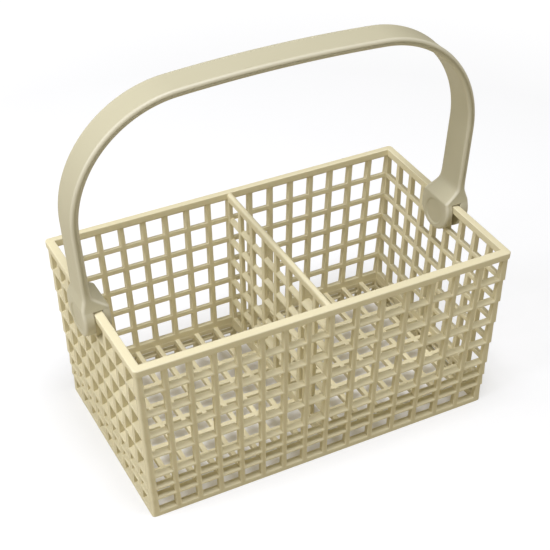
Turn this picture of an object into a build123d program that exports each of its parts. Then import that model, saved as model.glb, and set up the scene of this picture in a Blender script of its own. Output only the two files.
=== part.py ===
from build123d import *
from math import cos, radians, sin, tan
import os

# Dishwasher cutlery basket: an open lattice box with two compartments, and a strap handle
# whose forked feet clip over the rims of the end walls. Millimetres, +Z up, origin on the
# ground under the middle of the box. The long walls face -Y (front) and +Y (back).

# Box
basket_length = 240.0        # over the rim, along X
basket_width = 138.0         # over the rim, along Y
basket_height = 116.0        # ground to rim top
end_draft = 3.5              # degrees, the box narrows downwards, at its end walls
long_draft = 2.35            # and at its long walls
wall_thickness = 3.8
rim_height = 5.5
rim_thickness = 5.0
rim_overhang = 0.6           # rim outside the wall's outer face
rim_edge = 1.2               # chamfer
corner_radius = 2.5

# Lattice bars
post_width = 3.4
corner_post_width = 4.4
bar_height = 3.3
base_height = 3.0            # lowest bar, on the ground
skirt_bar_bottom = 7.8       # thin bar of the back and right walls under the floor
skirt_bar_height = 1.8

# Floor
floor_top = 16.3
floor_thickness = 3.8
floor_rib = 2.6
floor_rows = 7               # openings across the width

# Columns of openings in each wall
front_left_columns = 8       # left of the divider
front_right_columns = 7      # right of the divider
back_half_columns = 8        # on each side of the divider
end_columns = 9
divider_columns = 8

# Rows of openings above the floor
front_row_pitch = 16.0       # tall rows of the front and left walls
front_tall_rows = 5
front_low_bar_bottom = 20.8  # low bar between the floor and the tall rows
front_low_bar_height = 2.8
back_tall_rows = 6           # back wall, right wall and divider
back_rows_bottom = 20.6
back_band_bottom = 14.6      # band under these rows, against the floor

# Divider
divider_thickness = 3.0
divider_top_bar = 4.5
divider_top_drop = 0.6       # below the rim top

# Handle strap
strap_width = 21.0
strap_thickness = 5.0
strap_edge = 1.0             # chamfer
strap_outset = 4.1           # outer face outside the fork's slot
leg_length = 50.3            # rim top to the start of the bend
bend_radius = 69.2           # outer face
crown_angle = 3.9            # degrees, half of the gentle arch on top

# Handle feet
rim_clearance = 0.25         # fork to rim and fork to wall
inner_cheek = 4.4
outer_cheek = 6.4
foot_radius = 14.5
foot_centre_drop = 6.0       # below the rim top
foot_flare = 40.0
ridge_height = 1.8           # cheek edge above the rim top
ridge_rounding = 1.5
outer_shoulder = 6.5         # height of the slope from cheek to strap, outside
outer_neck_rounding = 3.0
inner_shoulder = 6.0         # and inside
inner_neck_rounding = 6.0
dish_diameter = 16.0
dish_depth = 0.5
dish_drop = 3.0              # below the middle of the foot
lug_width = 6.0
lug_height = 3.6
lug_clearance = 0.3
lug_reach = 3.0              # hook under the rim

end_slope = tan(radians(end_draft))
long_slope = tan(radians(long_draft))
rim_bottom = basket_height - rim_height
floor_bottom = floor_top - floor_thickness
wall_top_length = basket_length - 2 * rim_overhang
wall_top_width = basket_width - 2 * rim_overhang


def end_inset(z):
    """How far an end wall stands in from its place at the rim's top, at height z."""
    return (basket_height - z) * end_slope


def long_inset(z):
    """How far a long wall stands in from its place at the rim's top, at height z."""
    return (basket_height - z) * long_slope


def half_length(z):
    """Half the length over the end walls at height z."""
    return wall_top_length / 2 - end_inset(z)


def half_width(z):
    """Half the width over the long walls at height z."""
    return wall_top_width / 2 - long_inset(z)


def evenly(low, high, count, gap):
    """Spans of `count` equal openings between low and high, with bars of width `gap` between them."""
    opening = (high - low - (count - 1) * gap) / count
    return [(low + k * (opening + gap), low + k * (opening + gap) + opening) for k in range(count)]


def front_rows():
    """Tall rows hang from the rim, with two low rows over the floor and one under it."""
    tops = [rim_bottom - k * front_row_pitch for k in range(front_tall_rows)]
    tall = [(top - front_row_pitch + bar_height, top) for top in tops]
    low_bar_top = front_low_bar_bottom + front_low_bar_height
    low = [(low_bar_top, tops[-1] - front_row_pitch), (floor_top, front_low_bar_bottom)]
    return tall + low + [(base_height, floor_bottom)]


def back_rows():
    """Equal rows from the band at the floor to the rim."""
    return evenly(back_rows_bottom, rim_bottom, back_tall_rows, bar_height)


def skirt_rows():
    """The two low rows of the back and right walls under their band, as (bottom, top) heights."""
    skirt_bar_top = skirt_bar_bottom + skirt_bar_height
    return [(base_height, skirt_bar_bottom), (skirt_bar_top, back_band_bottom)]


def openings(rows, columns_at):
    """Four-cornered openings that follow the drafted walls: columns_at(z) gives the spans at height z."""
    cells = []
    for bottom, top in rows:
        for (a, b), (c, d) in zip(columns_at(bottom), columns_at(top)):
            cells.append([(a, bottom), (b, bottom), (d, top), (c, top)])
    return cells


def faces_of(cells):
    """One flat face for each four-cornered opening."""
    return [Polygon(*cell, align=None, mode=Mode.PRIVATE).face() for cell in cells]


def long_wall_columns(left_count, right_count):
    """Spans along X on both sides of the post that carries the divider."""

    def columns_at(z):
        edge = half_length(z) - corner_post_width
        left = evenly(-edge, -post_width / 2, left_count, post_width)
        right = evenly(post_width / 2, edge, right_count, post_width)
        return left + right

    return columns_at


def cross_columns(count, margin):
    """Spans along Y between the long walls, keeping `margin` from their outer faces."""

    def columns_at(z):
        edge = half_width(z) - margin
        return evenly(-edge, edge, count, post_width)

    return columns_at


def drafted_block(length, width, low, high, mode=Mode.ADD):
    """A block from height low to high that is length by width at its foot and widens with the draft."""
    end_spread = (high - low) * end_slope
    long_spread = (high - low) * long_slope
    with Locations((0, 0, low)):
        Wedge(
            length,
            high - low,
            width,
            -end_spread,
            -long_spread,
            length + end_spread,
            width + long_spread,
            rotation=(90, 0, 0),
            align=(Align.CENTER, Align.MIN, Align.CENTER),
            mode=mode,
        )


def is_upright(edge):
    """True for the steep edges at the box's corners."""
    return abs(edge.tangent_at(0.5).Z) > cos(radians(45))


with BuildPart() as basket:
    # Outer box and the rim band around its top, with the same draft and rounded corners
    drafted_block(2 * half_length(0), 2 * half_width(0), 0, basket_height)
    rim_foot_length = basket_length - 2 * end_inset(rim_bottom)
    rim_foot_width = basket_width - 2 * long_inset(rim_bottom)
    drafted_block(rim_foot_length, rim_foot_width, rim_bottom, basket_height)
    fillet(basket.edges().filter_by(is_upright), radius=corner_radius)

    # Inside of the rim, inside of the box down to the floor, and the hollow of the skirt under it
    drafted_block(
        rim_foot_length - 2 * rim_thickness,
        rim_foot_width - 2 * rim_thickness,
        rim_bottom,
        basket_height,
        Mode.SUBTRACT,
    )
    for low, high in ((floor_top, rim_bottom), (0, floor_bottom)):
        drafted_block(
            2 * (half_length(low) - wall_thickness),
            2 * (half_width(low) - wall_thickness),
            low,
            high,
            Mode.SUBTRACT,
        )

    # Break the rim's top edges, inside and outside
    chamfer(basket.edges().group_by(Axis.Z)[-1], length=rim_edge)

    # Divider between the two compartments, let into the long walls
    divider_top = basket_height - divider_top_drop
    sunk = wall_thickness / 2
    with BuildSketch(Plane.YZ):
        Polygon(
            (-half_width(floor_bottom) + sunk, floor_bottom),
            (half_width(floor_bottom) - sunk, floor_bottom),
            (half_width(divider_top) - sunk, divider_top),
            (-half_width(divider_top) + sunk, divider_top),
            align=None,
        )
    extrude(amount=divider_thickness / 2, both=True)

    # Openings of the front wall, cut outwards from just inside it
    inner_face_at_ground = half_width(0) - wall_thickness
    with BuildSketch(Plane.XZ.offset(inner_face_at_ground)):
        front_columns = long_wall_columns(front_left_columns, front_right_columns)
        add(faces_of(openings(front_rows(), front_columns)))
    extrude(amount=basket_width / 2, mode=Mode.SUBTRACT)

    # Openings of the back wall
    with BuildSketch(Plane.XZ.offset(-inner_face_at_ground)):
        back_columns = long_wall_columns(back_half_columns, back_half_columns)
        add(faces_of(openings(back_rows() + skirt_rows(), back_columns)))
    extrude(amount=-basket_width / 2, mode=Mode.SUBTRACT)

    # Openings of the left and right end walls
    inner_end_at_ground = half_length(0) - wall_thickness
    end_wall_columns = cross_columns(end_columns, corner_post_width)
    with BuildSketch(Plane.YZ.offset(-inner_end_at_ground)):
        add(faces_of(openings(front_rows(), end_wall_columns)))
    extrude(amount=-basket_length / 2, mode=Mode.SUBTRACT)
    with BuildSketch(Plane.YZ.offset(inner_end_at_ground)):
        add(faces_of(openings(back_rows() + skirt_rows(), end_wall_columns)))
    extrude(amount=basket_length / 2, mode=Mode.SUBTRACT)

    # Openings of the divider
    divider_rows = back_rows()[:-1] + [(back_rows()[-1][0], divider_top - divider_top_bar)]
    with BuildSketch(Plane.YZ):
        add(faces_of(openings(divider_rows, cross_columns(divider_columns, wall_thickness + post_width / 2))))
    extrude(amount=divider_thickness, both=True, mode=Mode.SUBTRACT)

    # Floor openings: ribs along Y run from post to post of the back wall
    floor_edge_x = half_length(floor_bottom) - wall_thickness
    floor_edge_y = half_width(floor_bottom) - wall_thickness
    columns_on_floor = evenly(-floor_edge_x, -floor_rib / 2, back_half_columns, floor_rib)
    columns_on_floor += evenly(floor_rib / 2, floor_edge_x, back_half_columns, floor_rib)
    rows_on_floor = evenly(-floor_edge_y, floor_edge_y, floor_rows, floor_rib)
    with BuildSketch(Plane.XY.offset(floor_bottom)):
        cells = [[(a, c), (b, c), (b, d), (a, d)] for a, b in columns_on_floor for c, d in rows_on_floor]
        add(faces_of(cells))
    extrude(amount=floor_thickness, mode=Mode.SUBTRACT)

basket.part.label = "basket"

# Handle, right half first. Lines that follow the draft of the end wall lean by the same slope.
fork_outer = basket_length / 2 + rim_clearance
fork_inner = basket_length / 2 - rim_thickness - rim_clearance
foot_centre = basket_height - foot_centre_drop
foot_bottom = foot_centre - foot_radius
ridge = basket_height + ridge_height


def leaning(x, z):
    """The point at height z on a line with the wall's draft that passes x at the rim's top."""
    return (x - end_inset(z), z)


with BuildPart() as handle:
    # Side view: fork, shoulders, leg, bend and half of the arched top
    leg_direction = (sin(radians(end_draft)), cos(radians(end_draft)))
    bend_turn = 90 + end_draft - crown_angle
    leg_top = basket_height + leg_length
    outer_leg_top = leaning(fork_outer + strap_outset, leg_top)
    inner_leg_top = (
        outer_leg_top[0] - strap_thickness * cos(radians(end_draft)),
        outer_leg_top[1] + strap_thickness * sin(radians(end_draft)),
    )
    crown_start = outer_leg_top[0] - bend_radius * (cos(radians(end_draft)) - sin(radians(crown_angle)))
    crown_radius = crown_start / sin(radians(crown_angle))
    outer_ridge = leaning(fork_outer + outer_cheek, ridge)
    outer_neck = leaning(fork_outer + strap_outset, ridge + outer_shoulder)
    inner_neck_height = ridge + inner_shoulder
    inner_neck = (
        inner_leg_top[0] - (inner_leg_top[1] - inner_neck_height) * end_slope,
        inner_neck_height,
    )
    inner_ridge = leaning(fork_inner - inner_cheek, ridge)
    with BuildSketch(Plane.XZ) as side:
        with BuildLine():
            Polyline(
                leaning(fork_outer + outer_cheek, foot_bottom),
                outer_ridge,
                outer_neck,
                outer_leg_top,
            )
            outer_bend = JernArc(outer_leg_top, leg_direction, bend_radius, bend_turn)
            outer_crown = JernArc(outer_bend @ 1, outer_bend % 1, crown_radius, crown_angle)
            inner_bend = JernArc(inner_leg_top, leg_direction, bend_radius - strap_thickness, bend_turn)
            inner_crown = JernArc(inner_bend @ 1, inner_bend % 1, crown_radius - strap_thickness, crown_angle)
            Line(outer_crown @ 1, inner_crown @ 1)
            Polyline(
                inner_leg_top,
                inner_neck,
                inner_ridge,
                leaning(fork_inner - inner_cheek, foot_bottom),
                leaning(fork_inner, foot_bottom),
                leaning(fork_inner, basket_height),
                leaning(fork_outer, basket_height),
                leaning(fork_outer, foot_bottom),
                leaning(fork_outer + outer_cheek, foot_bottom),
            )
        make_face()
        for corner, radius in (
            (outer_ridge, ridge_rounding),
            (inner_ridge, ridge_rounding),
            (outer_neck, outer_neck_rounding),
            (inner_neck, inner_neck_rounding),
        ):
            fillet(side.vertices().sort_by_distance((corner[0], corner[1]))[0], radius=radius)
    extrude(amount=foot_radius, both=True)

    # Front view: a round foot that flares out of the strap
    with BuildSketch(Plane.YZ) as front:
        strap_top = leg_top + 2 * bend_radius
        with Locations((0, foot_centre)):
            Circle(foot_radius)
            Rectangle(strap_width, strap_top - foot_centre, align=(Align.CENTER, Align.MIN))
        flare_height = foot_centre + (foot_radius ** 2 - strap_width ** 2 / 4) ** 0.5
        for side_of_strap in (-1, 1):
            corner = (side_of_strap * strap_width / 2, flare_height)
            fillet(front.vertices().sort_by_distance(corner)[0], radius=foot_flare)
    extrude(amount=basket_length, mode=Mode.INTERSECT)

    # Break every long edge, all but those of the slot
    def in_slot(edge):
        middle = edge.center()
        depth = end_inset(middle.Z)
        reach = fork_inner - depth - rim_clearance < middle.X < fork_outer - depth + rim_clearance
        return reach and middle.Z < basket_height + rim_clearance

    long_edges = handle.edges().filter_by(Axis.Y, reverse=True)
    long_edges = long_edges.filter_by(lambda edge: edge.center().X > strap_thickness and not in_slot(edge))
    chamfer(long_edges, length=strap_edge)

    # A shallow round dish on the outside of each cheek
    dish_height = foot_centre - dish_drop
    outward = (cos(radians(end_draft)), 0, -sin(radians(end_draft)))
    for x, facing in ((fork_outer + outer_cheek, 1), (fork_inner - inner_cheek, -1)):
        x_at_dish, z_at_dish = leaning(x, dish_height)
        cheek_plane = Plane(
            origin=(x_at_dish, 0, z_at_dish),
            x_dir=(0, 1, 0),
            z_dir=(facing * outward[0], 0, facing * outward[2]),
        )
        with BuildSketch(cheek_plane):
            Circle(dish_diameter / 2)
        extrude(amount=-dish_depth, mode=Mode.SUBTRACT)

    # Snap lug on the outer cheek, hooked under the rim through the middle opening of the end wall
    lug_top = rim_bottom - lug_clearance
    lug_root = leaning(fork_outer, lug_top)
    with BuildSketch(Plane.XZ):
        Polygon(
            (lug_root[0] + lug_reach, lug_top),
            (lug_root[0] - lug_reach, lug_top),
            leaning(fork_outer, lug_top - lug_height),
            (lug_root[0] + lug_reach, lug_top - lug_height),
            align=None,
        )
    extrude(amount=lug_width / 2, both=True)

    # The left half
    mirror(about=Plane.YZ)

handle.part.label = "handle"

os.makedirs("parts", exist_ok=True)
export_step(basket.part, "parts/basket.step")
export_step(handle.part, "parts/handle.step")
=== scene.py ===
# %% [markdown]
# # A cutlery basket for the dishwasher
# The real thing is two plastic mouldings: an open lattice box with a divider, and a strap handle
# whose forked feet clip over the rims of the end walls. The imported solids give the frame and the
# sizes. Here both mouldings are rebuilt with the soft edges, sloped bars and satin skin that a
# steel mould leaves, and each one replaces its solid.

# %% Load the frame
import math

import bmesh
import bpy
from mathutils import Matrix, Vector


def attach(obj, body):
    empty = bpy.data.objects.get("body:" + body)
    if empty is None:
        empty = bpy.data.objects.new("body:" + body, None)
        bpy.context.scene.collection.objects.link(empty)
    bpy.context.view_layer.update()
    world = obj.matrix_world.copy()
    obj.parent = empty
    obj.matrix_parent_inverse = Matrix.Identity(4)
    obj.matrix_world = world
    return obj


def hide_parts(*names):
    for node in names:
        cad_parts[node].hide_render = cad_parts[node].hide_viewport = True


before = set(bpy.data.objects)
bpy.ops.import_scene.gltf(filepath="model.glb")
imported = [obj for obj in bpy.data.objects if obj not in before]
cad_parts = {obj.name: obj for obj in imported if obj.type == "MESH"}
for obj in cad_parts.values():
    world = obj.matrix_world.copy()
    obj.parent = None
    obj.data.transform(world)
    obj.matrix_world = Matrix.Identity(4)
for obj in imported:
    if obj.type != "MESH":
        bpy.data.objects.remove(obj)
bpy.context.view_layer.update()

# %% [markdown]
# ## Sizes
# All sizes are in millimetres and become metres when a mesh is made. The walls lean: the box is
# narrower at the ground, so a place on a wall depends on its height.

# %% Sizes of the box
mm = 0.001
basket_length = 240.0
basket_width = 138.0
basket_height = 116.0
rim_height = 5.5
rim_thickness = 5.0
rim_overhang = 0.6
wall = 3.8
post = 3.4
corner_post = 4.4
floor_top = 16.3
floor_bottom = 12.5
floor_rib = 3.2
end_slope = math.tan(math.radians(3.5))
long_slope = math.tan(math.radians(2.35))
rim_bottom = basket_height - rim_height


def half_length(z):
    """Half the length over the end walls at height z."""
    return basket_length / 2 - rim_overhang - (basket_height - z) * end_slope


def half_width(z):
    """Half the width over the long walls at height z."""
    return basket_width / 2 - rim_overhang - (basket_height - z) * long_slope


print("box at the ground", 2 * half_length(0), "by", 2 * half_width(0))

# %% [markdown]
# ## A short way to write node trees
# Geometry Nodes and shader nodes are boxes joined by links. This small class adds a box, fills its
# sockets by name and returns it, so that a tree reads like a recipe. A value that is a socket gets
# a link, and any other value is typed into the socket. Three helpers go with it: one puts an object
# into the scene, and two write the attributes that the trees read from a mesh.

# %% Objects and attributes
def in_scene(name, data):
    """A new object at the origin, linked into the scene."""
    thing = bpy.data.objects.new(name, data)
    bpy.context.scene.collection.objects.link(thing)
    return thing


def write_vectors(mesh, lists):
    """Vector attributes on a mesh's points, from a dictionary of lists."""
    for name, vectors in lists.items():
        layer = mesh.attributes.new(name, "FLOAT_VECTOR", "POINT")
        layer.data.foreach_set("vector", [x for v in vectors for x in v])


def write_numbers(mesh, lists):
    """Number attributes on a mesh's points, from a dictionary of lists."""
    for name, numbers in lists.items():
        mesh.attributes.new(name, "FLOAT", "POINT").data.foreach_set("value", numbers)


# %% Node tree helper
class Recipe:
    """Adds nodes to one tree and links them."""

    def __init__(self, tree):
        self.tree = tree

    def add(self, kind, fill=None, **settings):
        """A new node with its settings made and its sockets filled."""
        node = self.tree.nodes.new(kind)
        for name, value in settings.items():
            setattr(node, name, value)
        for key, value in (fill or {}).items():
            self.fill(node, key, value)
        return node

    def fill(self, node, key, value):
        """One socket, by its number or its name, from a link or a value."""
        if isinstance(key, int):
            socket = node.inputs[key]
        else:
            socket = next(s for s in node.inputs if s.name == key and s.enabled)
        if isinstance(value, bpy.types.NodeSocket):
            self.tree.links.new(value, socket)
        else:
            socket.default_value = value

    def math(self, operation, a, b=0.0):
        return self.add("ShaderNodeMath", {0: a, 1: b}, operation=operation).outputs[0]

    def vector(self, operation, a, b):
        return self.add("ShaderNodeVectorMath", {0: a, 1: b}, operation=operation).outputs[0]

    def scaled(self, vector, factor):
        node = self.add("ShaderNodeVectorMath", {0: vector, "Scale": factor}, operation="SCALE")
        return node.outputs[0]

    def mixed(self, factor, a, b):
        """Two colours mixed; a Mix node has them in sockets 6 and 7 and the colour in output 2."""
        node = self.add("ShaderNodeMix", {"Factor": factor, 6: a, 7: b}, data_type="RGBA")
        return node.outputs[2]


class Shape(Recipe):
    """A Geometry Nodes tree with named inputs."""

    def __init__(self, name, sizes):
        super().__init__(bpy.data.node_groups.new(name, "GeometryNodeTree"))
        face = self.tree.interface
        face.new_socket("Geometry", in_out="INPUT", socket_type="NodeSocketGeometry")
        self.keys = {}
        for size, kind in sizes.items():
            self.keys[size] = face.new_socket(size, in_out="INPUT", socket_type=kind).identifier
        face.new_socket("Geometry", in_out="OUTPUT", socket_type="NodeSocketGeometry")
        self.start = self.tree.nodes.new("NodeGroupInput")

    def size(self, name):
        """One of the tree's named inputs."""
        return self.start.outputs[name]

    def read(self, name, data_type="FLOAT_VECTOR"):
        """An attribute of the geometry."""
        node = self.add("GeometryNodeInputNamedAttribute", {"Name": name}, data_type=data_type)
        return node.outputs["Attribute"]

    def store(self, geometry, name, value, data_type="FLOAT_VECTOR", where=True):
        """The geometry with an attribute written on its points, or on a selection of them."""
        fill = {"Geometry": geometry, "Selection": where, "Name": name, "Value": value}
        node = self.add("GeometryNodeStoreNamedAttribute", fill, data_type=data_type, domain="POINT")
        return node.outputs["Geometry"]

    def end(self, geometry):
        """Every tree ends the same way: plain mesh, smooth, one material."""
        real = self.add("GeometryNodeRealizeInstances", {"Geometry": geometry}).outputs[0]
        smooth = self.add("GeometryNodeSetShadeSmooth", {0: real}).outputs[0]
        painted = self.add("GeometryNodeSetMaterial", {0: smooth, "Material": self.size("Material")})
        output = self.tree.nodes.new("NodeGroupOutput")
        self.tree.links.new(painted.outputs[0], output.inputs[0])

    def run(self, mesh, values):
        """The tree's result on a mesh, as a plain mesh."""
        holder = in_scene("holder", mesh)
        modifier = holder.modifiers.new("shape", "NODES")
        modifier.node_group = self.tree
        for name, value in values.items():
            modifier[self.keys[name]] = value
        deps = bpy.context.evaluated_depsgraph_get()
        result = bpy.data.meshes.new_from_object(holder.evaluated_get(deps), depsgraph=deps)
        holder.modifiers.clear()
        bpy.data.objects.remove(holder)
        return result


# %% [markdown]
# ## The plastic
# Both mouldings are cream polypropylene. Seen close, such plastic isn't one colour: it has cloudy,
# slightly warmer patches where it flowed, and its satin skin comes from the fine grain of the
# mould. The grain and the patches are one node group, used by both materials with their own
# values. The texture reads Object coordinates, so it stays on the piece.

# %% Moulded skin node group
cloud_low = 0.3
cloud_high = 0.7
grain_scale = 2600.0
grain_share = 0.25
wave_scale = 90.0


def moulded_skin():
    """Cloudy colour, uneven gloss and fine grain, all from noise in the piece's own space."""
    tree = bpy.data.node_groups.new("Moulded skin", "ShaderNodeTree")
    face = tree.interface
    for name, kind in (
        ("Base", "NodeSocketColor"),
        ("Warm", "NodeSocketColor"),
        ("Patch size", "NodeSocketFloat"),
        ("Patch strength", "NodeSocketFloat"),
        ("Gloss low", "NodeSocketFloat"),
        ("Gloss high", "NodeSocketFloat"),
    ):
        face.new_socket(name, in_out="INPUT", socket_type=kind)
    for name, kind in (
        ("Color", "NodeSocketColor"),
        ("Roughness", "NodeSocketFloat"),
        ("Height", "NodeSocketFloat"),
    ):
        face.new_socket(name, in_out="OUTPUT", socket_type=kind)
    r = Recipe(tree)
    start = tree.nodes.new("NodeGroupInput")
    place = r.add("ShaderNodeTexCoord").outputs["Object"]
    patch_scale = r.math("DIVIDE", 1.0, start.outputs["Patch size"])
    cloud = r.add("ShaderNodeTexNoise", {"Vector": place, "Scale": patch_scale, "Detail": 3.0})
    spread = r.add(
        "ShaderNodeMapRange",
        {"Value": cloud.outputs["Fac"], "From Min": cloud_low, "From Max": cloud_high},
    ).outputs["Result"]
    strength = r.math("MULTIPLY", spread, start.outputs["Patch strength"])
    colour = r.mixed(strength, start.outputs["Base"], start.outputs["Warm"])
    wide = r.math("SUBTRACT", start.outputs["Gloss high"], start.outputs["Gloss low"])
    rough = r.math("ADD", start.outputs["Gloss low"], r.math("MULTIPLY", spread, wide))
    grain = r.add("ShaderNodeTexNoise", {"Vector": place, "Scale": grain_scale, "Detail": 2.0})
    wave = r.add("ShaderNodeTexNoise", {"Vector": place, "Scale": wave_scale, "Detail": 1.0})
    fine = r.math("MULTIPLY", grain.outputs["Fac"], grain_share)
    height = r.math("ADD", fine, wave.outputs["Fac"])
    end = tree.nodes.new("NodeGroupOutput")
    tree.links.new(colour, end.inputs["Color"])
    tree.links.new(rough, end.inputs["Roughness"])
    tree.links.new(height, end.inputs["Height"])
    return tree


skin_group = moulded_skin()
print("skin group", len(skin_group.nodes), "nodes")

# %% [markdown]
# The rounded edges are painted a touch lighter than the flat faces, a painted highlight where they
# catch the light. The trees below store it as an attribute named `edge`, and the material reads it.

# %% Two plastics
highlight_share = 0.45


def plastic(name, base, warm, painted_highlight, patch_size, patch_strength, gloss):
    """A satin plastic with its own cloud size and its own colour for the painted highlight on its
    edges.
    """
    material = bpy.data.materials.new(name)
    material.use_nodes = True
    tree = material.node_tree
    r = Recipe(tree)
    shader = tree.nodes["Principled BSDF"]
    skin = r.add("ShaderNodeGroup")
    skin.node_tree = skin_group
    for key, value in (
        ("Base", base),
        ("Warm", warm),
        ("Patch size", patch_size),
        ("Patch strength", patch_strength),
        ("Gloss low", gloss[0]),
        ("Gloss high", gloss[1]),
    ):
        skin.inputs[key].default_value = value
    # The edge attribute mixes in a lighter colour: a painted highlight on the rounded edges.
    edge = r.add("ShaderNodeAttribute", attribute_name="edge").outputs["Fac"]
    highlighted = r.mixed(r.math("MULTIPLY", edge, highlight_share), skin.outputs["Color"], painted_highlight)
    relief = {"Strength": 0.12, "Distance": 0.0003, "Height": skin.outputs["Height"]}
    bump = r.add("ShaderNodeBump", relief)
    tree.links.new(highlighted, shader.inputs["Base Color"])
    tree.links.new(skin.outputs["Roughness"], shader.inputs["Roughness"])
    tree.links.new(bump.outputs["Normal"], shader.inputs["Normal"])
    shader.inputs["IOR"].default_value = 1.49
    shader.inputs["Specular IOR Level"].default_value = 0.4
    return material


cream = plastic(
    "cream_plastic",
    base=(0.780, 0.712, 0.480, 1.0),
    warm=(0.740, 0.668, 0.425, 1.0),
    # lighter colour of the painted highlight on the rounded edges
    painted_highlight=(0.800, 0.738, 0.540, 1.0),
    patch_size=0.045,
    patch_strength=0.55,
    gloss=(0.36, 0.50),
)
grey_cream = plastic(
    "grey_cream_plastic",
    base=(0.550, 0.514, 0.365, 1.0),
    warm=(0.514, 0.476, 0.325, 1.0),
    # far lighter than the base: a painted highlight along the strap's rounded edges
    painted_highlight=(0.820, 0.780, 0.640, 1.0),
    patch_size=0.060,
    patch_strength=0.50,
    gloss=(0.34, 0.46),
)
print("materials", cream.name, grey_cream.name)

# %% [markdown]
# ## The lattice
# Every opening of the box was left by a small block of steel in the mould. So the lattice is made
# the same way round: the walls start as a sheet of four-cornered cells, and each cell is pushed
# through the wall in steps. Each step is an Extrude Mesh on single faces followed by a Set Position,
# and the steps follow the rounded outer edge, the straight side and the rounded inner edge. The last
# step runs back along the inner face to the corners of the cell. The face that it ends in is
# deleted, and there is the hole.
#
# Each corner of a cell carries what it needs as attributes: the way through the wall, the way
# sideways and upwards to its opening, and how far those go on the outer and the inner face. The
# bars' tops slope down to the outside because their outer distance is smaller than the inner one.

# %% Moulded openings tree
arc_middle = 0.293  # 1 - cos 45 degrees: what a rounded edge lacks halfway round
highlight_beside = 0.4  # painted highlight where a rounded edge ends; halfway round it is 1
weld = 0.00001  # metres
openings_tree = Shape(
    "Moulded openings",
    {"Edge rounding": "NodeSocketFloat", "Material": "NodeSocketMaterial"},
)


def build_openings(t):
    """Pushes each opening through its wall. A stage is (share of the way, share of the rounding that
    it stands back, painted highlight)."""
    place = t.add("GeometryNodeInputPosition").outputs[0]
    geometry = t.store(t.start.outputs["Geometry"], "place", place)
    geometry = t.store(geometry, "edge", 0.0, "FLOAT")
    top = t.read("opening", "BOOLEAN")
    rounding = t.size("Edge rounding")
    inward = t.read("inward")
    depth = t.add("ShaderNodeVectorMath", {0: inward}, operation="LENGTH").outputs["Value"]
    step = t.math("DIVIDE", rounding, depth)
    small = t.math("MULTIPLY", step, arc_middle)
    deep = t.math("SUBTRACT", 1.0, step)
    deeper = t.math("SUBTRACT", 1.0, small)
    stages = (
        (0.0, 1.0, highlight_beside),
        (small, arc_middle, 1.0),
        (step, 0.0, highlight_beside),
        (deep, 0.0, highlight_beside),
        (deeper, arc_middle, 1.0),
        (1.0, 1.0, highlight_beside),
        (1.0, None, 0.0),
    )
    for fraction, retreat, painted_highlight in stages:
        fill = {"Mesh": geometry, "Selection": top, "Offset Scale": 0.0}
        pushed = t.add("GeometryNodeExtrudeMesh", fill)
        top = pushed.outputs["Top"]
        spot = t.vector("ADD", t.read("place"), t.scaled(inward, fraction))
        if retreat is not None:
            back = t.math("MULTIPLY", rounding, retreat)
            for way in ("side", "rise"):
                outer = t.read(way + "_outer", "FLOAT")
                inner = t.read(way + "_inner", "FLOAT")
                gap = t.math("SUBTRACT", inner, outer)
                reach = t.math("ADD", outer, t.math("MULTIPLY", gap, fraction))
                reach = t.math("SUBTRACT", reach, back)
                spot = t.vector("ADD", spot, t.scaled(t.read(way), reach))
        fill = {"Geometry": pushed.outputs["Mesh"], "Selection": top, "Position": spot}
        geometry = t.add("GeometryNodeSetPosition", fill).outputs[0]
        # edge holds the painted highlight: lighter where the rounded edges catch the light
        geometry = t.store(geometry, "edge", painted_highlight, "FLOAT", top)
    fill = {"Geometry": geometry, "Selection": top}
    geometry = t.add("GeometryNodeDeleteGeometry", fill, domain="FACE").outputs[0]
    fill = {"Geometry": geometry, "Distance": weld}
    t.end(t.add("GeometryNodeMergeByDistance", fill).outputs[0])


build_openings(openings_tree)
print("openings tree", len(openings_tree.tree.nodes), "nodes")

# %% [markdown]
# The cells come from the rows and columns of each wall. This class collects them and writes their
# attributes. A quad without an opening closes the sheet's rim or makes the small ledge that runs
# across the posts at the foot of each bar of the real box.

# %% Cell sheet
class Sheet:
    """Quads with the attributes that the openings tree reads."""

    def __init__(self):
        self.points = []
        self.faces = []
        self.open = []
        self.vectors = {name: [] for name in ("inward", "side", "rise")}
        numbers = ("side_outer", "side_inner", "rise_outer", "rise_inner")
        self.numbers = {name: [] for name in numbers}

    def quad(self, points, facts=None):
        """One face. With facts about its corners it becomes an opening."""
        first = len(self.points)
        self.points += [Vector(p) * mm for p in points]
        self.faces.append(list(range(first, first + len(points))))
        self.open.append(facts is not None)
        for k in range(len(points)):
            for name, values in self.vectors.items():
                values.append(facts[k][name] if facts else Vector())
            for name, values in self.numbers.items():
                values.append(facts[k][name] if facts else 0.0)

    def mesh(self):
        mesh = bpy.data.meshes.new("cells")
        mesh.from_pydata(self.points, [], self.faces)
        write_vectors(mesh, self.vectors)
        write_numbers(mesh, self.numbers)
        mesh.attributes.new("opening", "BOOLEAN", "FACE").data.foreach_set("value", self.open)
        return mesh


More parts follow.
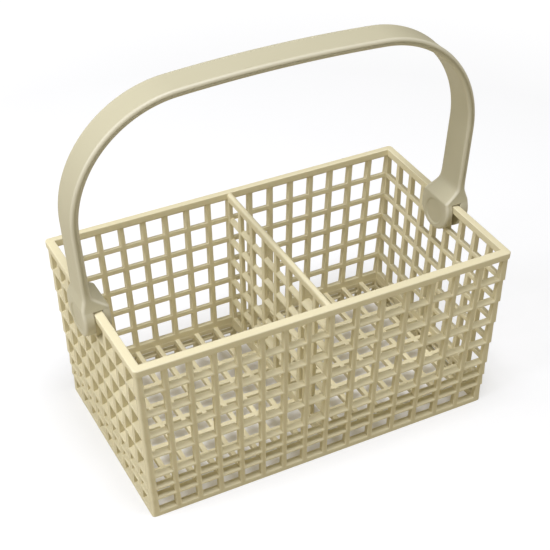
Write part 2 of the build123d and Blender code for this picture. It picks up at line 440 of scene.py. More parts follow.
def add_panel(sheet, rows, posts_at, outer, inner, side, rise, ledge=0.0, ledge_height=0.0):
    """One wall. Rows are (low, high, bar outside, bar inside, lip), and posts_at(z) gives posts as
    (place, half width). outer and inner turn a place and a height into a point on each face."""

    def corner(post_index, n, upper):
        """A cell's corner: its point outside, its point inside and what the tree needs to know."""
        low, high, bar_outer, bar_inner, lip = rows[n]
        level = high if upper else low
        gap = ledge_height / 2
        if upper:
            z = level - (gap if n < len(rows) - 1 else 0.0)
        else:
            z = level + (gap if n else 0.0)
        place, half = posts_at(z)[post_index]
        point = outer(place, z, -ledge if upper else ledge)
        place_inside = posts_at(level)[post_index][0]
        through = inner(place_inside, level)
        facts = {
            "inward": (through - point) * mm,
            "side_outer": half * mm,
            "side_inner": half * mm,
            "rise": -rise if upper else rise,
            "rise_outer": (lip if upper else bar_outer) * mm,
            "rise_inner": (lip if upper else bar_inner) * mm,
        }
        return point, through, facts

    count = len(posts_at(rows[0][0]))
    last = len(rows) - 1
    for n in range(len(rows)):
        for j in range(count - 1):
            marks = [(j, False), (j + 1, False), (j + 1, True), (j, True)]
            corners = [corner(p, n, upper) for p, upper in marks]
            for (p, _), c in zip(marks, corners):
                c[2]["side"] = side if p == j else -side
            sheet.quad([c[0] for c in corners], [c[2] for c in corners])
            a, b, c, d = corners
            if n == 0:
                sheet.quad([a[0], a[1], b[1], b[0]])
            if n == last:
                sheet.quad([d[0], c[0], c[1], d[1]])
            if n < last and ledge_height:
                over = [corner(p, n + 1, False)[0] for p in (j, j + 1)]
                sheet.quad([d[0], c[0], over[1], over[0]])
        for j in (0, count - 1):
            low, high = corner(j, n, False), corner(j, n, True)
            sheet.quad([low[0], high[0], high[1], low[1]])
            if n < last and ledge_height:
                sheet.quad([high[0], corner(j, n + 1, False)[0], high[1]])


def evenly(low, high, count, gap):
    """Spans of equal openings between low and high with bars of width gap between them."""
    opening = (high - low - (count - 1) * gap) / count
    return [(low + k * (opening + gap), low + k * (opening + gap) + opening) for k in range(count)]


def posts_between(spans, end, start=None):
    """Post places and half widths for a row of spans that runs from start, or else -end, to end."""
    first = -end if start is None else start
    inside = [((a[1] + b[0]) / 2, (b[0] - a[1]) / 2) for a, b in zip(spans, spans[1:])]
    return [(first, spans[0][0] - first)] + inside + [(end, end - spans[-1][1])]


sheet = Sheet()

# %% [markdown]
# ## Walls
# The front and left walls hang five tall rows from the rim and have three low rows under them, with
# one of the low bars at the height of the floor. The back and right walls have six rows over a band
# at the floor and two low rows under it. The front wall has eight columns on one side of the
# divider and seven on the other.

# %% Rows of bars
bar = 3.3
seat = 0.75
into_rim = 2.6
ledge = 0.34
ledge_height = 0.4
back_band_top = 20.6
front_pitch = 16.0
back_pitch = (rim_bottom - back_band_top + bar) / 6
# A bar is (bottom, height outside, height inside). The tall rows' bars share their two heights.
tall_bar = (1.6, 3.3)
base_bar = (0.0, 3.0, 4.4)
front_bars = [base_bar, (floor_bottom, 1.9, 4.1), (20.8, 1.7, 3.6)]
front_bars += [(rim_bottom - k * front_pitch, *tall_bar) for k in (5, 4, 3, 2, 1)]
back_bars = [base_bar, (7.8, 1.5, 1.8), (14.6, 5.2, 6.0)]
back_bars += [(rim_bottom - k * back_pitch, *tall_bar) for k in (5, 4, 3, 2, 1)]


def wall_rows(bars, top):
    """Rows of openings between bars. Each row starts at a bar's seat."""
    rows = []
    for n, (low, outside, inside) in enumerate(bars):
        start = seat if n else 0.0
        high, lip = (bars[n + 1][0] + seat, seat) if n + 1 < len(bars) else (top, into_rim)
        rows.append((low + start, high, outside - start, inside - start, lip))
    return rows


print("front bars", len(front_bars), "back bars", len(back_bars))

# %% Four walls
end_columns = 9


def long_posts(left, right):
    """Posts of a long wall with so many columns on each side of the divider."""

    def posts_at(z):
        edge = half_length(z) - corner_post
        spans = evenly(-edge, -post / 2, left, post) + evenly(post / 2, edge, right, post)
        return posts_between(spans, half_length(z) - wall / 2)

    return posts_at


def end_posts(z):
    """Posts of an end wall."""
    edge = half_width(z) - corner_post
    return posts_between(evenly(-edge, edge, end_columns, post), half_width(z) - wall / 2)


def add_long_wall(facing, rows, posts_at):
    """The front wall faces -1 and the back wall 1 along Y."""
    add_panel(
        sheet,
        rows,
        posts_at,
        lambda x, z, out: Vector((x, facing * (half_width(z) + out), z)),
        lambda x, z: Vector((x, facing * (half_width(z) - wall), z)),
        Vector((1, 0, 0)),
        Vector((0, facing * long_slope, 1)).normalized(),
        ledge,
        ledge_height,
    )


def add_end_wall(facing, rows):
    """The left wall faces -1 and the right wall 1 along X."""
    add_panel(
        sheet,
        rows,
        end_posts,
        lambda y, z, out: Vector((facing * (half_length(z) + out), y, z)),
        lambda y, z: Vector((facing * (half_length(z) - wall), y, z)),
        Vector((0, 1, 0)),
        Vector((facing * end_slope, 0, 1)).normalized(),
        ledge,
        ledge_height,
    )


wall_top = rim_bottom + into_rim
add_long_wall(-1, wall_rows(front_bars, wall_top), long_posts(8, 7))
add_long_wall(1, wall_rows(back_bars, wall_top), long_posts(8, 8))
add_end_wall(-1, wall_rows(front_bars, wall_top))
add_end_wall(1, wall_rows(back_bars, wall_top))
print("wall cells", sum(sheet.open))

# %% [markdown]
# ## Divider and floor
# They are the same kind of lattice, only thinner, so the same tree makes them. The divider's rows
# line up with the back wall, and the floor's ribs run from wall to wall. Where the floor meets the
# front and left walls it is let in only a little, so that it doesn't come through the sloped bar
# there.

# %% Divider
divider_thickness = 3.0
divider_top = basket_height - 0.6
divider_lattice_top = divider_top - 3.0
divider_columns = 8


def divider_posts(z):
    """Posts of the divider, which ends inside the long walls."""
    edge = half_width(z) - wall - post / 2
    spans = evenly(-edge, edge, divider_columns, post)
    return posts_between(spans, half_width(z) - wall / 2)


divider_foot = floor_bottom + 0.6
foot_height = back_band_top - divider_foot
divider_bars = [(divider_foot, foot_height, foot_height)] + back_bars[3:]
add_panel(
    sheet,
    wall_rows(divider_bars, divider_lattice_top),
    divider_posts,
    lambda y, z, out: Vector((-divider_thickness / 2, y, z)),
    lambda y, z: Vector((divider_thickness / 2, y, z)),
    Vector((0, 1, 0)),
    Vector((0, 0, 1)),
)
print("cells with the divider", sum(sheet.open))

# %% Floor lattice
floor_x = half_length(floor_bottom) - wall
floor_y = half_width(floor_bottom) - wall
let_in = 0.3
edge_rounding = 0.6
half_columns = 8
floor_lanes = 7
floor_spans = evenly(-floor_x, -floor_rib / 2, half_columns, floor_rib)
floor_spans += evenly(floor_rib / 2, floor_x, half_columns, floor_rib)
floor_lines = evenly(-floor_y, floor_y, floor_lanes, floor_rib)
floor_marks = posts_between(floor_lines, floor_y + wall / 2, -floor_y - let_in)
floor_rows = [
    (a[0], b[0], a[1], a[1], b[1])
    for a, b in zip(floor_marks, floor_marks[1:])
]
add_panel(
    sheet,
    floor_rows,
    lambda y: posts_between(floor_spans, floor_x + wall / 2, -floor_x - let_in),
    lambda x, y, out: Vector((x, y, floor_top)),
    lambda x, y: Vector((x, y, floor_bottom)),
    Vector((1, 0, 0)),
    Vector((0, 1, 0)),
)
lattice_values = {"Edge rounding": edge_rounding * mm, "Material": cream}
lattice_mesh = openings_tree.run(sheet.mesh(), lattice_values)
print("lattice", len(sheet.faces), "quads in,", len(lattice_mesh.polygons), "faces out")

# %% [markdown]
# ## Bars that follow a path
# The rim, the corner posts, the divider's top bar and the strap of the handle are all one idea: a
# rectangle with rounded corners that follows a path. Curve to Mesh would do it for one fixed
# section, but the handle gets wider and thicker towards its feet. So each path point carries its
# own half width, half height and axes, each point of the section carries its place on a unit
# rounded corner, and a Set Position after Curve to Mesh puts them together.
#
# The strap has two things more: its faces are dished a little, which leaves a lip along each edge,
# and a fine groove on its sides runs below each lip. Five points beside each corner of the section
# are kept for them. On the plain bars they lie on the ends of the corner's arc.

# %% Section with rounded corners, lips and grooves
corner_steps = 4
corner_step = 90 / corner_steps
side_points = ((0.55, 0.0), (0.30, 1.0), (0.05, 0.0))
face_points = ((0.35, 0.25), (1.0, 1.0))


def section_corner(quarter):
    """Points of one corner as (arc, sign, shift in lip widths, dent in groove depths)."""
    middle = math.radians(90 * quarter + 45)
    sx, sy = math.copysign(1, math.cos(middle)), math.copysign(1, math.sin(middle))
    sides = [((sx, 0, 0), (sx, sy, 0), (0, shift, 0), (dent, 0, 0)) for shift, dent in side_points]
    faces = [((0, sy, 0), (sx, sy, 0), (shift, 0, 0), (0, dent, 0)) for shift, dent in face_points]
    arc = []
    for k in range(corner_steps + 1):
        angle = math.radians(90 * quarter + corner_step * k)
        arc.append(((math.cos(angle), math.sin(angle), 0), (sx, sy, 0), (0, 0, 0), (0, 0, 0)))
    if quarter % 2:
        return faces[::-1] + arc + sides[::-1]
    return sides + arc + faces


def section_mesh():
    """A closed polyline whose points carry what the sweep tree needs. Their own places only have to
    differ, because the tree sets them anew."""
    points = [point for quarter in range(4) for point in section_corner(quarter)]
    count = len(points)
    spots = []
    for arc, sign, shift, _ in points:
        spots.append(Vector(arc) + 2 * Vector(sign) - Vector(sign) * Vector(shift))
    mesh = bpy.data.meshes.new("section")
    mesh.from_pydata(spots, [(k, (k + 1) % count) for k in range(count)], [])
    names = ("round", "corner", "shift", "dent")
    write_vectors(mesh, {name: [point[n] for point in points] for n, name in enumerate(names)})
    return mesh


section = in_scene("section", section_mesh())
print("section", len(section.data.vertices), "points")

# %% Rounded sweep tree
sweep_sizes = {
    "Section": "NodeSocketObject",
    "Lip": "NodeSocketFloat",
    "Material": "NodeSocketMaterial",
}
sweep_tree = Shape("Rounded sweep", sweep_sizes)


def build_sweep(t):
    """A tube along each path whose points are then put where their attributes say."""
    section = t.add("GeometryNodeObjectInfo", {"Object": t.size("Section")}).outputs["Geometry"]
    section = t.add("GeometryNodeMeshToCurve", {0: section}).outputs[0]
    path = t.add("GeometryNodeMeshToCurve", {0: t.start.outputs["Geometry"]}).outputs[0]
    fill = {"Curve": path, "Profile Curve": section, "Fill Caps": True}
    tube = t.add("GeometryNodeCurveToMesh", fill).outputs[0]
    width = t.read("half_width", "FLOAT")
    height = t.read("half_height", "FLOAT")
    radius = t.math("MINIMUM", t.math("MINIMUM", width, height), t.read("rounding", "FLOAT"))
    corner = t.add("ShaderNodeSeparateXYZ", {0: t.read("corner")}).outputs
    arc = t.add("ShaderNodeSeparateXYZ", {0: t.read("round")}).outputs
    shift = t.add("ShaderNodeSeparateXYZ", {0: t.scaled(t.read("shift"), t.size("Lip"))}).outputs
    groove = t.read("groove", "FLOAT")
    dent = t.add("ShaderNodeSeparateXYZ", {0: t.scaled(t.read("dent"), groove)}).outputs
    across = []
    for k, half in enumerate((width, height)):
        less = t.math("ADD", shift[k], dent[k])
        straight = t.math("SUBTRACT", t.math("SUBTRACT", half, radius), less)
        straight = t.math("MULTIPLY", corner[k], straight)
        across.append(t.math("ADD", straight, t.math("MULTIPLY", arc[k], radius)))
    a, b = across
    spot = t.read("centre")
    outer, inner = t.math("MAXIMUM", a, 0.0), t.math("MINIMUM", a, 0.0)
    for way, reach in (("outward", outer), ("backward", inner), ("up", b)):
        spot = t.vector("ADD", spot, t.scaled(t.read(way), reach))
    tube = t.add("GeometryNodeSetPosition", {"Geometry": tube, "Position": spot}).outputs[0]
    # Cosine times sine is a half in the middle of a corner, so twice that is the full painted
    # highlight.
    bend = t.math("MULTIPLY", t.math("ABSOLUTE", arc[0]), t.math("ABSOLUTE", arc[1]))
    t.end(t.store(tube, "edge", t.math("MULTIPLY", bend, 2.0), "FLOAT"))


build_sweep(sweep_tree)
print("sweep tree", len(sweep_tree.tree.nodes), "nodes")

# %% Paths for the sweep
class Paths:
    """Open or closed runs of points with the attributes that the sweep tree reads."""

    def __init__(self):
        self.edges = []
        self.vectors = {name: [] for name in ("centre", "outward", "backward", "up")}
        numbers = ("half_width", "half_height", "rounding", "groove")
        self.numbers = {name: [] for name in numbers}

    def run(self, points, closed=False):
        """Each point is (centre, outward, backward, up, half width, half height, rounding, groove)."""
        first = len(self.vectors["centre"])
        count = len(points)
        self.edges += [(first + k, first + k + 1) for k in range(count - 1)]
        if closed:
            self.edges.append((first + count - 1, first))
        for centre, outward, backward, up, *sizes in points:
            axes = (Vector(centre) * mm, Vector(outward), Vector(backward), Vector(up))
            for values, axis in zip(self.vectors.values(), axes):
                values.append(axis)
            for values, size in zip(self.numbers.values(), sizes):
                values.append(size * mm)

    def mesh(self):
        mesh = bpy.data.meshes.new("paths")
        mesh.from_pydata(self.vectors["centre"], self.edges, [])
        write_vectors(mesh, self.vectors)
        write_numbers(mesh, self.numbers)
        return mesh


# %% [markdown]
# ## Rim, corners and the divider's bar
# The rim turns each corner with a small radius outside and a sharp corner inside, so the path has
# a few points at each corner whose outward axis swings round while the backward axis stays on the
# diagonal. Both axes also dip a little: the rim's top slopes down to the outside like the bars. The
# corner posts carry the same ledges as the walls beside them.

# %% Rim
frame_paths = Paths()
rim_dip = 0.15
rim_rounding = 0.7
rim_half_height = (rim_height - rim_dip * rim_thickness) / 2
rim_middle = basket_height - rim_height / 2
rim_x = basket_length / 2 - rim_thickness / 2 - rim_height / 2 * end_slope
rim_y = basket_width / 2 - rim_thickness / 2 - rim_height / 2 * long_slope
rim_points = []
for quarter, (sx, sy) in enumerate(((1, 1), (-1, 1), (-1, -1), (1, -1))):
    for step in range(corner_steps + 1):
        angle = math.radians(90 * quarter + corner_step * step)
        rim_points.append((
            (sx * rim_x, sy * rim_y, rim_middle),
            (math.cos(angle), math.sin(angle), -rim_dip),
            (sx, sy, -rim_dip),
            (sx * end_slope, sy * long_slope, 1),
            rim_thickness / 2,
            rim_half_height,
            rim_rounding,
            0.0,
        ))
frame_paths.run(rim_points, closed=True)
print("rim", len(rim_points), "path points")

# %% Corner posts and divider bar
column_rounding = 1.5
column_foot = 0.2
bar_half_height = 2.4
bar_half_width = 1.75
bar_rounding = 1.5
columns = (
    (-1, -1, front_bars),
    (1, -1, front_bars),
    (-1, 1, front_bars),
    (1, 1, back_bars),
)
for sx, sy, bars in columns:
    levels = [(column_foot, ledge)]
    for low, _, _ in bars[1:]:
        z = low + seat
        levels += [(z - ledge_height / 2, -ledge), (z + ledge_height / 2, ledge)]
    levels.append((wall_top, -ledge))
    column = []
    for z, out in levels:
        centre = (sx * (half_length(z) - wall / 2), sy * (half_width(z) - wall / 2), z)
        half = wall / 2 + out
        sizes = (half, half, column_rounding, 0.0)
        column.append((centre, (1, 0, 0), (1, 0, 0), (0, 1, 0), *sizes))
    frame_paths.run(column)

bar_end = half_width(divider_top) - wall / 2
bar_middle = divider_top - bar_half_height
bar_sizes = (bar_half_width, bar_half_height, bar_rounding, 0.0)
frame_paths.run([
    ((0, y, bar_middle), (1, 0, 0), (1, 0, 0), (0, 0, 1), *bar_sizes)
    for y in (-bar_end, 0.0, bar_end)
])
frame_values = {"Section": section, "Lip": 0.0, "Material": cream}
frame_mesh = sweep_tree.run(frame_paths.mesh(), frame_values)
print("rim, posts and bar", len(frame_mesh.polygons), "faces")

# %% [markdown]
# ## Joining a moulding
# On the real object these are one piece of plastic, so the meshes go into one. Doubles are merged,
# normals are turned outwards, the helper attributes go, and a Weighted Normal modifier keeps flat
# faces flat in the light while their rounded edges stay soft.

# %% Join meshes into one piece
double_gap = 0.000004  # metres
sharp_angle = 62
kept_attributes = ("edge", "sharp_face")


def moulding(name, meshes, material):
    """One plain mesh object at the origin from several meshes."""
    joined = bmesh.new()
    for mesh in meshes:
        joined.from_mesh(mesh)
    bmesh.ops.remove_doubles(joined, verts=joined.verts, dist=double_gap)
    bmesh.ops.recalc_face_normals(joined, faces=joined.faces)
    mesh = bpy.data.meshes.new(name)
    joined.to_mesh(mesh)
    joined.free()
    helpers = [a.name for a in mesh.attributes if not (a.is_internal or a.is_required)]
    for helper in helpers:
        if helper not in kept_attributes:
            mesh.attributes.remove(mesh.attributes[helper])
    mesh.materials.clear()
    mesh.materials.append(material)
    mesh.polygons.foreach_set("material_index", [0] * len(mesh.polygons))
    mesh.polygons.foreach_set("use_smooth", [True] * len(mesh.polygons))
    mesh.set_sharp_from_angle(angle=math.radians(sharp_angle))
    piece = in_scene(name, mesh)
    weighted = piece.modifiers.new("flat faces", "WEIGHTED_NORMAL")
    weighted.keep_sharp = True
    deps = bpy.context.evaluated_depsgraph_get()
    flat = bpy.data.meshes.new_from_object(piece.evaluated_get(deps), depsgraph=deps)
    piece.modifiers.clear()
    piece.data = flat
    flat.name = name
    flat.calc_loop_triangles()
    print(name, len(flat.loop_triangles), "triangles")
    return piece


basket = moulding("basket_moulding", [lattice_mesh, frame_mesh], cream)
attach(basket, "root")
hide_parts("basket")

# %% [markdown]
# ## Handle
# The strap leans outwards with the end walls, bends over with a large radius and runs over the top
# in a gentle arch. Towards each foot it flares like a trouser leg, and just above the rim it steps
# out on both sides to the two cheeks of the fork. All of that is the same sweep, with sizes that
# change along the path. The steps are slopes with softened ends, written as a soft minimum.

# %% Strap sizes
strap_width = 21.0
strap = 5.0
strap_outset = 4.1
strap_rounding = 2.0
strap_lip = 0.8
strap_groove = 0.22
groove_start = 4.0
groove_fade = 8.0
leg_length = 50.3
bend_radius = 69.2
crown_angle = math.radians(3.9)
clearance = 0.25
inner_cheek = 4.4
outer_cheek = 6.4
foot_radius = 14.5
foot_centre = basket_height - 6.0
foot_flare = 40.0
ridge = basket_height + 1.8
cheek_top = ridge - 1.0
outer_shoulder = 6.5
outer_hollow = 0.12
inner_shoulder = 6.0
inner_hollow = 0.30
ridge_softness = 0.07
fork_outer = basket_length / 2 + clearance
fork_inner = basket_length / 2 - rim_thickness - clearance
lean_angle = math.atan(end_slope)
flare_y = strap_width / 2 + foot_flare
flare_z = foot_centre + math.sqrt((foot_radius + foot_flare) ** 2 - flare_y ** 2)
disc_z = foot_centre + (flare_z - foot_centre) * foot_radius / (foot_radius + foot_flare)
print("foot: disc up to", disc_z, "flare up to", flare_z)


# %% Shape of the feet
def leaning(x, z):
    """x at height z on a line that leans with the end wall and passes x at the rim's top."""
    return x + (z - basket_height) * end_slope


def foot_half_width(z):
    """Half width of foot, flare and strap, seen along X."""
    if z >= flare_z:
        return strap_width / 2
    if z >= disc_z:
        return flare_y - math.sqrt(foot_flare ** 2 - (flare_z - z) ** 2)
    return math.sqrt(max(foot_radius ** 2 - (z - foot_centre) ** 2, 0.0))


def soft_min(a, b, softness):
    """The smaller of two numbers, with a soft change from one to the other."""
    return (a + b - math.sqrt((a - b) ** 2 + softness ** 2)) / 2


def shoulder(z, height, hollow):
    """1 on the cheek, 0 on the strap, and between them a slope with a soft ridge and a hollow foot."""
    slope = soft_min(1.0, 1.0 - (z - ridge) / height, ridge_softness)
    return -soft_min(0.0, -slope, hollow)


print("foot half width at the ridge", foot_half_width(ridge))

# %% Strap sections
ridge_rises = (0, 0.4, 0.7, 1.0, 1.3, 1.6, 2, 2.6, 3.4, 4.2, 5, 5.8, 6.6, 7.4, 8.2, 9.2, 10.4)
leg_rises = (12, 14, 17, 21, 27, 34, 42)
bend_steps = 36
crown_steps = 12


def strap_sections():
    """(Outer point, inner point, half width) from the right foot's ridge to the middle of the top."""
    sections = []
    leg_top = basket_height + leg_length
    step_out = outer_cheek - strap_outset
    step_in = fork_outer + strap_outset - strap - (fork_inner - inner_cheek)
    for rise in ridge_rises + leg_rises:
        z = cheek_top + rise
        past = step_out * shoulder(z, outer_shoulder, outer_hollow)
        before = step_in * shoulder(z, inner_shoulder, inner_hollow)
        outer = leaning(fork_outer + strap_outset + past, z)
        inner = leaning(fork_outer + strap_outset - strap - before, z)
        sections.append((Vector((outer, 0, z)), Vector((inner, 0, z)), foot_half_width(z)))
    start = Vector((leaning(fork_outer + strap_outset, leg_top), 0, leg_top))
    centre = start + Vector((-math.cos(lean_angle), 0, math.sin(lean_angle))) * bend_radius
    turn = math.pi / 2 + lean_angle - crown_angle
    for k in range(bend_steps + 1):
        angle = -lean_angle + turn * k / bend_steps
        way = Vector((math.cos(angle), 0, math.sin(angle)))
        outer, inner = centre + way * bend_radius, centre + way * (bend_radius - strap)
        sections.append((outer, inner, strap_width / 2))
    crown_start = sections[-1][0]
    crown_radius = crown_start.x / math.sin(crown_angle)
    crown_centre = Vector((0, 0, crown_start.z - crown_radius * math.cos(crown_angle)))
    for k in range(1, crown_steps + 1):
        angle = crown_angle * (1 - k / crown_steps)
        way = Vector((math.sin(angle), 0, math.cos(angle)))
        outer = crown_centre + way * crown_radius
        sections.append((outer, outer - way * strap, strap_width / 2))
    return sections


right_half = strap_sections()
flip = Vector((-1, 1, 1))
left_half = [(outer * flip, inner * flip, half) for outer, inner, half in right_half]
print("strap", len(left_half), "sections on each side")

# %% [markdown]
# Under each end of the strap a small block fills the fork above the rim, so that strap and cheeks
# are one body there. It stays inside them, and only its underside shows, in the slot.

# %% Strap
core_bite = 2.2
core_inset = 0.5
core_overlap = 0.6
core_rounding = 0.3
handle_paths = Paths()
sweep_points = []
for outer, inner, half in left_half + right_half[-2::-1]:
    up = (outer - inner).normalized()
    thick = (outer - inner).length / 2
    groove = strap_groove * min(max((outer.z - ridge - groove_start) / groove_fade, 0.0), 1.0)
    sizes = (half, thick, strap_rounding, groove)
    sweep_points.append(((outer + inner) / 2, (0, 1, 0), (0, 1, 0), up, *sizes))
handle_paths.run(sweep_points)
for facing in (-1, 1):
    core = []
    for z in (basket_height, cheek_top + core_overlap):
        low, high = leaning(fork_inner - core_bite, z), leaning(fork_outer + core_bite, z)
        centre = (facing * (low + high) / 2, 0, z)
        sizes = (foot_half_width(z) - core_inset, (high - low) / 2, core_rounding, 0.0)
        core.append((centre, (0, 1, 0), (0, 1, 0), (1, 0, 0), *sizes))
    handle_paths.run(core)
strap_values = {"Section": section, "Lip": strap_lip * mm, "Material": grey_cream}
strap_mesh = sweep_tree.run(handle_paths.mesh(), strap_values)
bpy.data.objects.remove(section)
print("strap", len(strap_mesh.polygons), "faces, top at", max(v.co.z for v in strap_mesh.vertices))

# %% [markdown]
# ## Fork cheeks
# Each foot is a fork: a thick cheek outside the wall and a thinner one inside, both round plates
# with rounded edges and a shallow round dish. They are built as rings: the outline is drawn once,
# and pulled in a little at each face to round it.

# %% Cheek outline
flare_steps = 6
disc_steps = 32


def foot_outline():
    """(y, z) from one end of the cheek's top, down round the disc and up to the other end."""
    right = []
    for k in range(flare_steps + 1):
        z = cheek_top - (cheek_top - disc_z) * k / flare_steps
        right.append((foot_half_width(z), z))
    start = math.asin((disc_z - foot_centre) / foot_radius)
    for k in range(1, disc_steps + 1):
        angle = start - (start + math.pi / 2) * k / disc_steps
        right.append((foot_radius * math.cos(angle), foot_centre + foot_radius * math.sin(angle)))
    return right + [(-y, z) for y, z in right[-2::-1]]


def pulled_in(outline, distance):
    """The outline moved inwards by a distance, with its ends kept at the cheek's top."""
    moved = []
    last = len(outline) - 1
    for k, (y, z) in enumerate(outline):
        before = outline[max(k - 1, 0)]
        after = outline[min(k + 1, last)]
        along = Vector((after[0] - before[0], after[1] - before[1])).normalized()
        inward = Vector((along.y, -along.x))
        if k in (0, last):
            moved.append((y + distance * math.copysign(1, inward.x), z))
        else:
            moved.append((y + inward.x * distance, z + inward.y * distance))
    return moved


print("cheek outline", len(foot_outline()), "points")

# %% Cheek profile and dish
near_rounding = 0.7
arc_third = 0.134  # 1 - cos 30 degrees
arc_rest = 0.5  # 1 - cos 60 degrees
dish_rings = ((8.6, 0.0), (8.3, 0.12), (7.9, 0.62), (7.4, 0.8))
dish_sides = 40
dish_z = foot_centre - 3.0


def cheek_profile(thickness):
    """Rings from the wall side to the far side as (distance pulled in, place across, painted
    highlight).
    """
    n, r = near_rounding, strap_rounding
    return (
        (n, 0.0, 0.5),
        (arc_middle * n, arc_middle * n, 1.0),
        (0.0, n, 0.5),
        (0.0, thickness - r, 0.3),
        (arc_third * r, thickness - arc_rest * r, 1.0),
        (arc_rest * r, thickness - arc_third * r, 1.0),
        (r, thickness, 0.3),
    )


def ring_faces(bm, rings, closed):
    """Quads between rings that follow each other."""
    for a, b in zip(rings, rings[1:]):
        count = len(a)
        for k in range(count if closed else count - 1):
            m = (k + 1) % count
            bm.faces.new((a[k], a[m], b[m], b[k]))


print("dish", dish_rings[0][0], "mm in radius,", dish_rings[-1][1], "mm deep")


# %% Cheek plates
def cheek(bm, facing, near, far, edge_layer):
    """A rounded plate from x = near, at the wall, to x = far, with a dish on its far face."""
    sign = 1 if far > near else -1
    thickness = abs(far - near)

    def vertex(across, y, z):
        return bm.verts.new(Vector((facing * leaning(near + sign * across, z), y, z)) * mm)

    outline = foot_outline()
    rings = []
    for inset, across, highlighted in cheek_profile(thickness):
        ring = [vertex(across, y, z) for y, z in pulled_in(outline, inset)]
        for v in ring:
            # edge holds the painted highlight on the cheek's rounded rims
            v[edge_layer] = highlighted
        rings.append(ring)
    ring_faces(bm, rings, False)
    bm.faces.new([ring[0] for ring in rings] + [ring[-1] for ring in reversed(rings)])
    bm.faces.new(rings[0])
    dishes = []
    for radius, depth in dish_rings:
        turns = [2 * math.pi * k / dish_sides for k in range(dish_sides)]
        dishes.append([
            vertex(thickness - depth, radius * math.cos(turn), dish_z + radius * math.sin(turn))
            for turn in turns
        ])
    ring_faces(bm, dishes, True)
    bm.faces.new(dishes[-1])
    border = []
    for loop in (rings[-1], dishes[0]):
        for k, v in enumerate(loop):
            after = loop[(k + 1) % len(loop)]
            border.append(bm.edges.get((v, after)) or bm.edges.new((v, after)))
    bmesh.ops.triangle_fill(bm, use_beauty=True, edges=border)


fork = bmesh.new()
highlight_layer = fork.verts.layers.float.new("edge")
for facing in (-1, 1):
    cheek(fork, facing, fork_outer, fork_outer + outer_cheek, highlight_layer)
    cheek(fork, facing, fork_inner, fork_inner - inner_cheek, highlight_layer)
cheek_mesh = bpy.data.meshes.new("cheeks")
fork.to_mesh(cheek_mesh)
fork.free()
print("cheeks", len(cheek_mesh.polygons), "faces")

# %% [markdown]
# Each outer cheek has a small snap lug that hooks under the rim through the middle opening of the
# end wall. It can only be seen from below.

# %% Snap lugs
lug_top = rim_bottom - 0.3
lug_height = 3.6
lug_half = 3.0
lug_bite = 1.0
lug_reach = 3.0
lug_flat = 2.6
nose_middle = 0.4
nose_end = 0.9
lug_bottom = lug_top - lug_height
lugs = bmesh.new()
for facing in (-1, 1):
    root = leaning(fork_outer, lug_top)
    side = [
        (root + lug_bite, lug_top),
        (root - lug_flat, lug_top),
        (root - lug_reach, lug_top - nose_middle),
        (root - lug_flat, lug_top - nose_end),
        (leaning(fork_outer, lug_bottom), lug_bottom),
        (root + lug_bite, lug_bottom),
    ]
    ends = []
    for y in (-lug_half, lug_half):
        ends.append([lugs.verts.new(Vector((facing * x, y, z)) * mm) for x, z in side])
    lugs.faces.new(ends[0])
    lugs.faces.new(ends[1])
    for k in range(len(side)):
        m = (k + 1) % len(side)
        lugs.faces.new((ends[0][k], ends[0][m], ends[1][m], ends[1][k]))
lug_mesh = bpy.data.meshes.new("lugs")
lugs.to_mesh(lug_mesh)
lugs.free()

handle = moulding("handle_moulding", [strap_mesh, cheek_mesh, lug_mesh], grey_cream)
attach(handle, "root")
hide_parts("handle")

# %% [markdown]
# ## Floor, light and camera
# The object stands on a white table under soft studio light. For every ray but the camera's the
# table is a plain pale plane that throws warm light back up into the lattice. The camera sees it
# glow, more so far away, with a lighter shadow, so that the ground comes out white. Only on the
# ground that the basket covers does it see the full shade. One large panel overhead, a little in
# front of the basket, lights the tops, a second one at the left lights the sides, and a dim warm
# world fills the shadows.

# %% Table
table_half = 3.0
table_ways = ((-1, -1), (1, -1), (1, 1), (-1, 1))
table_corners = [(sx * table_half, sy * table_half, 0) for sx, sy in table_ways]
bounce_colour = (0.62, 0.575, 0.465, 1.0)
faint_colour = (0.52, 0.525, 0.535, 1.0)
shade_colour = (0.92, 0.91, 0.89, 1.0)
glow_range = {"From Min": 0.45, "From Max": 1.2, "To Min": 0.49, "To Max": 1.0}
cover_edge = 1.0
table_mesh = bpy.data.meshes.new("table")
table_mesh.from_pydata(table_corners, [], [(0, 1, 2, 3)])
table = in_scene("table", table_mesh)
table_paint = bpy.data.materials.new("table_white")
table_paint.use_nodes = True
nodes = Recipe(table_paint.node_tree)
table_paint.node_tree.nodes.clear()
seen = nodes.add("ShaderNodeLightPath").outputs["Is Camera Ray"]
matt = nodes.add("ShaderNodeBsdfDiffuse", {"Color": bounce_colour})
faint = nodes.add("ShaderNodeBsdfDiffuse", {"Color": faint_colour})
place = nodes.add("ShaderNodeTexCoord").outputs["Object"]
away = nodes.add("ShaderNodeVectorMath", {0: place}, operation="LENGTH").outputs["Value"]
strength = nodes.add("ShaderNodeMapRange", {"Value": away, **glow_range}).outputs["Result"]
glow = nodes.add("ShaderNodeEmission", {"Strength": strength})
white = nodes.add("ShaderNodeAddShader", {0: faint.outputs[0], 1: glow.outputs[0]})
shade = nodes.add("ShaderNodeBsdfDiffuse", {"Color": shade_colour})
spot = nodes.add("ShaderNodeSeparateXYZ", {0: place}).outputs
under = []
for axis, half in ((0, half_length(0)), (1, half_width(0))):
    fill = {"Value": nodes.math("ABSOLUTE", spot[axis]), "To Min": 1.0, "To Max": 0.0}
    fill.update({"From Min": (half - wall) * mm, "From Max": (half - cover_edge) * mm})
    under.append(nodes.add("ShaderNodeMapRange", fill).outputs["Result"])
inside = nodes.math("MULTIPLY", *under)
ground = nodes.add("ShaderNodeMixShader", {0: inside, 1: white.outputs[0], 2: shade.outputs[0]})
both = nodes.add("ShaderNodeMixShader", {0: seen, 1: matt.outputs[0], 2: ground.outputs[0]})
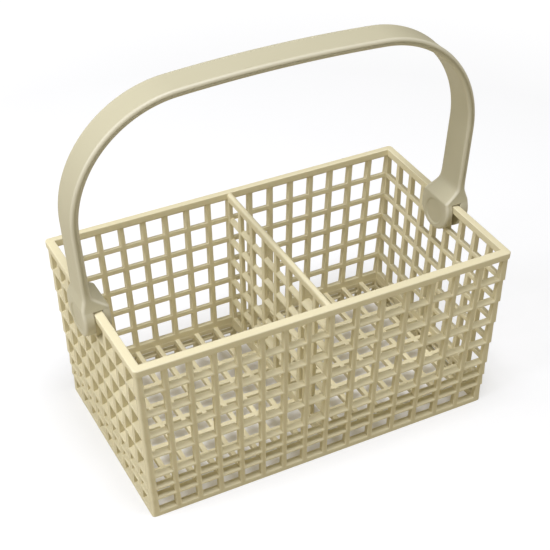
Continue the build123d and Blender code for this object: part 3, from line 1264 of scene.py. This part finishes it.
nodes.add("ShaderNodeOutputMaterial", {"Surface": both.outputs[0]})
table_mesh.materials.append(table_paint)
print("table", 2 * table_half, "m wide")

# %% Light
world_colour = (1.0, 0.91, 0.66, 1.0)
world_strength = 0.215
panel_colour = (0.97, 0.985, 1.06)
panel_side = 0.8
aim = (0.0, 0.0, 0.10)
world = bpy.data.worlds.new("studio")
bpy.context.scene.world = world
world.use_nodes = True
background = world.node_tree.nodes["Background"]
background.inputs["Color"].default_value = world_colour
background.inputs["Strength"].default_value = world_strength


def soft_panel(name, place, power):
    """A square area light aimed at the basket."""
    light = bpy.data.lights.new(name, "AREA")
    light.shape = "RECTANGLE"
    light.size = panel_side
    light.size_y = panel_side
    light.energy = power
    light.color = panel_colour
    lamp = in_scene(name, light)
    lamp.location = place
    lamp.rotation_euler = (Vector(aim) - Vector(place)).to_track_quat("-Z", "Y").to_euler()
    print(name, "at", place, "with", power, "W")


soft_panel("key", (0.00, -0.32, 1.78), 21.8)
soft_panel("left_panel", (-0.97, 0.06, 0.82), 8.6)

# %% [markdown]
# The camera stands to the left in front of the basket and looks down on it, at the angle and
# distance found from the box's edges. Its axes are written out, because a slight roll belongs to
# them.

# %% Camera
eye = (-0.30485, -0.58395, 0.57567)
view_angles = (27.476, 36.176, -0.233)  # azimuth, elevation and roll in degrees


def camera_axes(azimuth, elevation, roll):
    """Right, up and backward axes of a camera that looks along an azimuth and down by an elevation."""
    a, e, r = (math.radians(v) for v in (azimuth, elevation, roll))
    ahead = Vector((math.cos(e) * math.sin(a), math.cos(e) * math.cos(a), -math.sin(e)))
    right = Vector((math.cos(a), -math.sin(a), 0))
    down = ahead.cross(right)
    rolled_right = right * math.cos(r) + down * math.sin(r)
    rolled_down = down * math.cos(r) - right * math.sin(r)
    return rolled_right, -rolled_down, -ahead


lens = bpy.data.cameras.new("camera")
lens.sensor_width = 36.0
lens.lens = 89.19
lens.clip_start = 0.05
camera = in_scene("camera", lens)
turned = Matrix(camera_axes(*view_angles)).transposed().to_4x4()
camera.matrix_world = Matrix.Translation(eye) @ turned
bpy.context.scene.camera = camera
bpy.context.scene.view_settings.view_transform = "Standard"
print("camera at", eye, "with a lens of", lens.lens, "mm")
